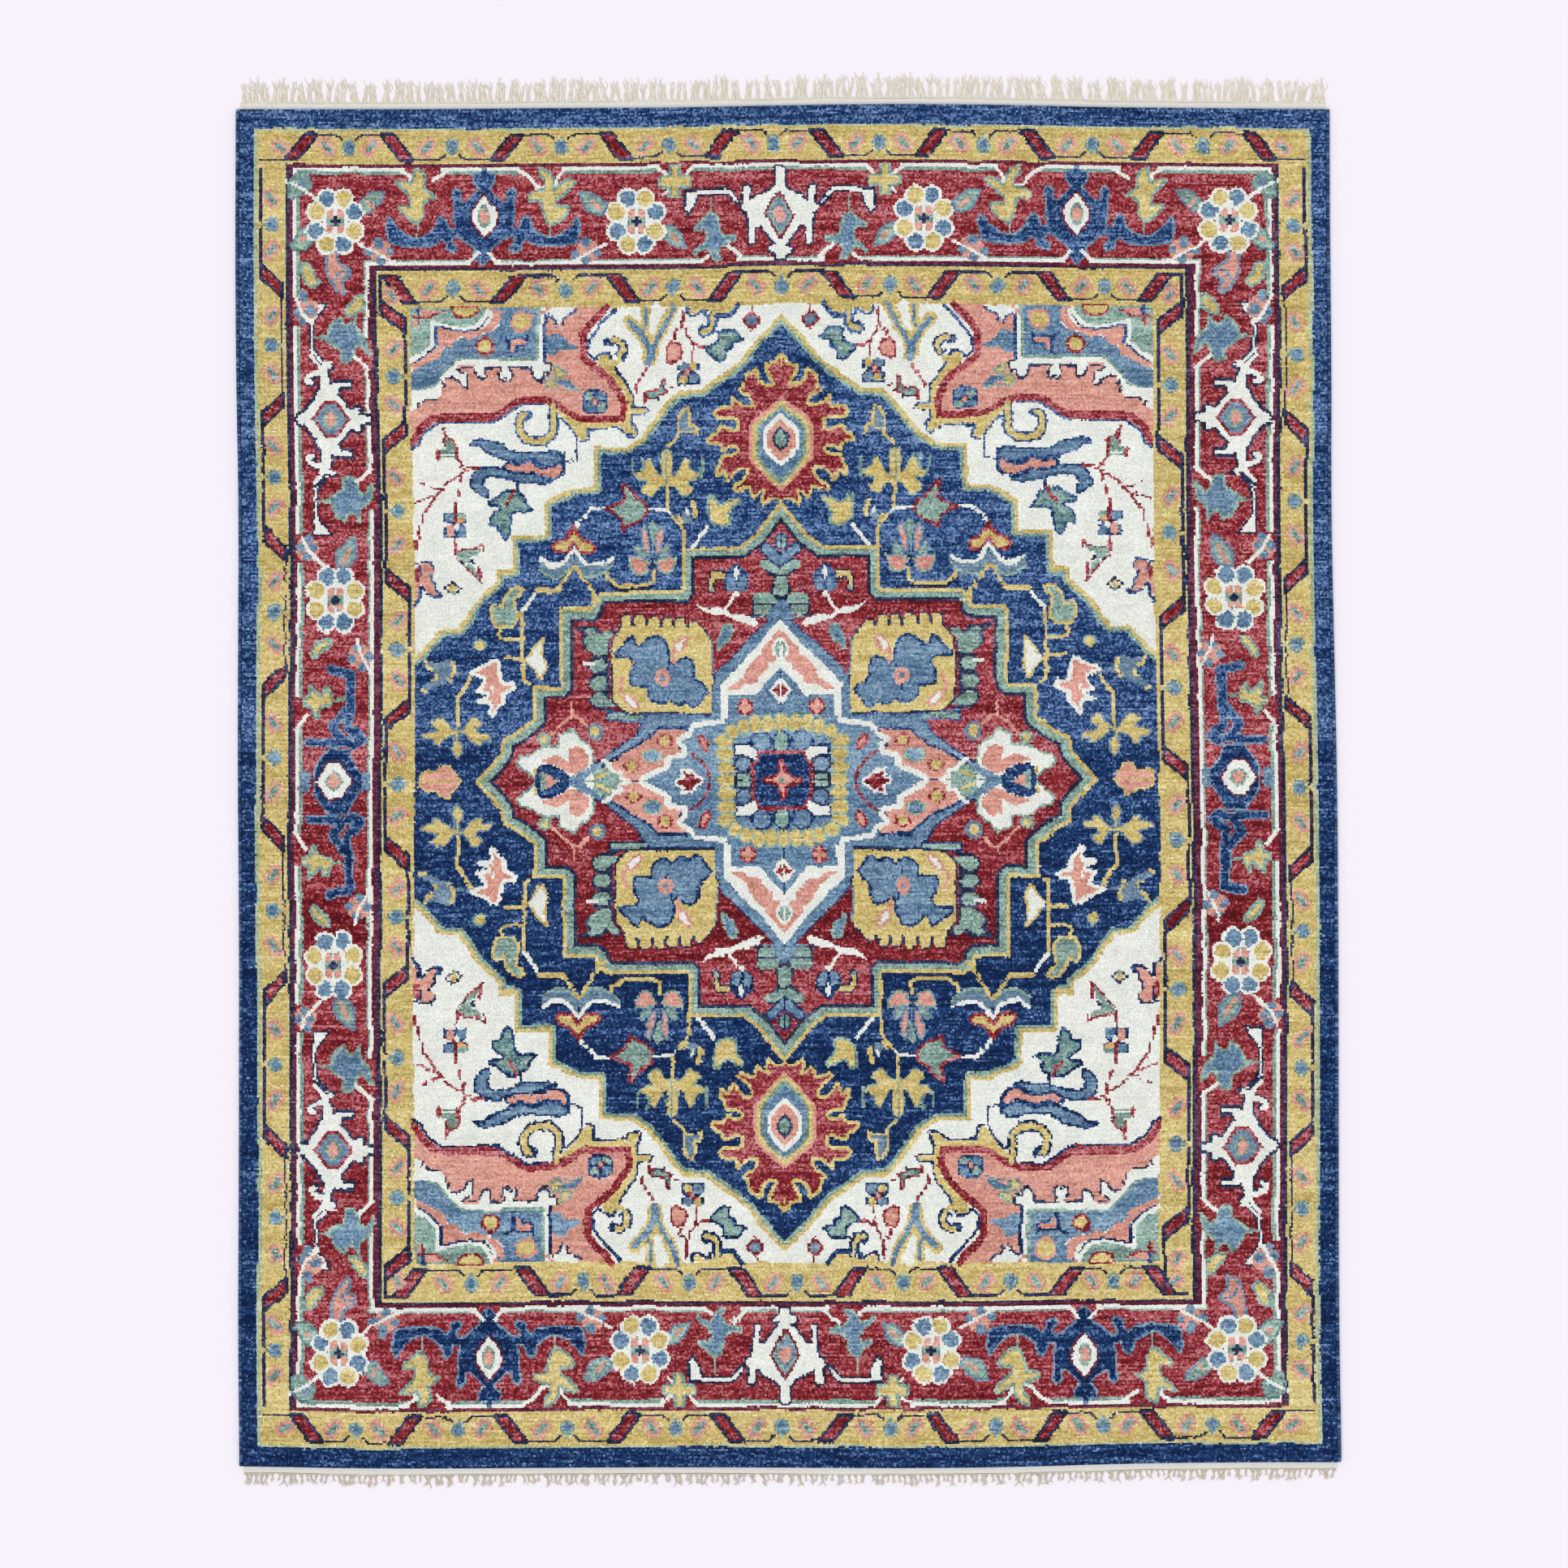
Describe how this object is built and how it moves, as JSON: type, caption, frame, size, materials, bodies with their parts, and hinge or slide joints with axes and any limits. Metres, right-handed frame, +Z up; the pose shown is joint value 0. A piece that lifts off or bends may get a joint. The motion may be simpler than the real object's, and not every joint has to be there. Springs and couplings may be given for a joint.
{
  "type": "area rug",
  "caption": "Rectangular hand-knotted wool area rug with a stepped medallion, patterned borders, overcast edges and a fringe at each end.",
  "frame": {"origin": "on the floor, under the middle of the knotted area", "axes": "+Z up out of the pile; +Y along the warps towards the end with the long loose fringe; +X across the rug to the right-hand selvedge, seen from above with +Y away"},
  "size_m": [2.4398, 3.1352, 0.011],
  "materials": {
    "navy_wool": "matte wool pile, indigo-dyed",
    "gold_wool": "matte wool pile, gold",
    "red_wool": "matte wool pile, madder red",
    "ivory_wool": "matte wool pile, undyed ivory",
    "blue_wool": "matte wool pile, mid blue",
    "cotton": "matte undyed cotton yarn"
  },
  "bodies": {
    "root": {"foundation": "cotton", "fringe_far": "cotton", "fringe_near": "cotton", "kilim_far": "cotton", "kilim_near": "cotton", "pile_centre_medallion": "blue_wool", "pile_corner_far_left": "ivory_wool", "pile_corner_far_right": "ivory_wool", "pile_corner_near_left": "ivory_wool", "pile_corner_near_right": "ivory_wool", "pile_inner_guard_far": "gold_wool", "pile_inner_guard_left": "gold_wool", "pile_inner_guard_near": "gold_wool", "pile_inner_guard_right": "gold_wool", "pile_inner_medallion": "red_wool", "pile_main_border_far": "red_wool", "pile_main_border_left": "red_wool", "pile_main_border_near": "red_wool", "pile_main_border_right": "red_wool", "pile_medallion": "navy_wool", "pile_outer_band_far": "navy_wool", "pile_outer_band_left": "navy_wool", "pile_outer_band_near": "navy_wool", "pile_outer_band_right": "navy_wool", "pile_outer_guard_far": "gold_wool", "pile_outer_guard_left": "gold_wool", "pile_outer_guard_near": "gold_wool", "pile_outer_guard_right": "gold_wool", "selvedge_core_left": "cotton", "selvedge_core_right": "cotton", "selvedge_wrap_left": "navy_wool", "selvedge_wrap_right": "navy_wool"}
  },
  "joints": []
}
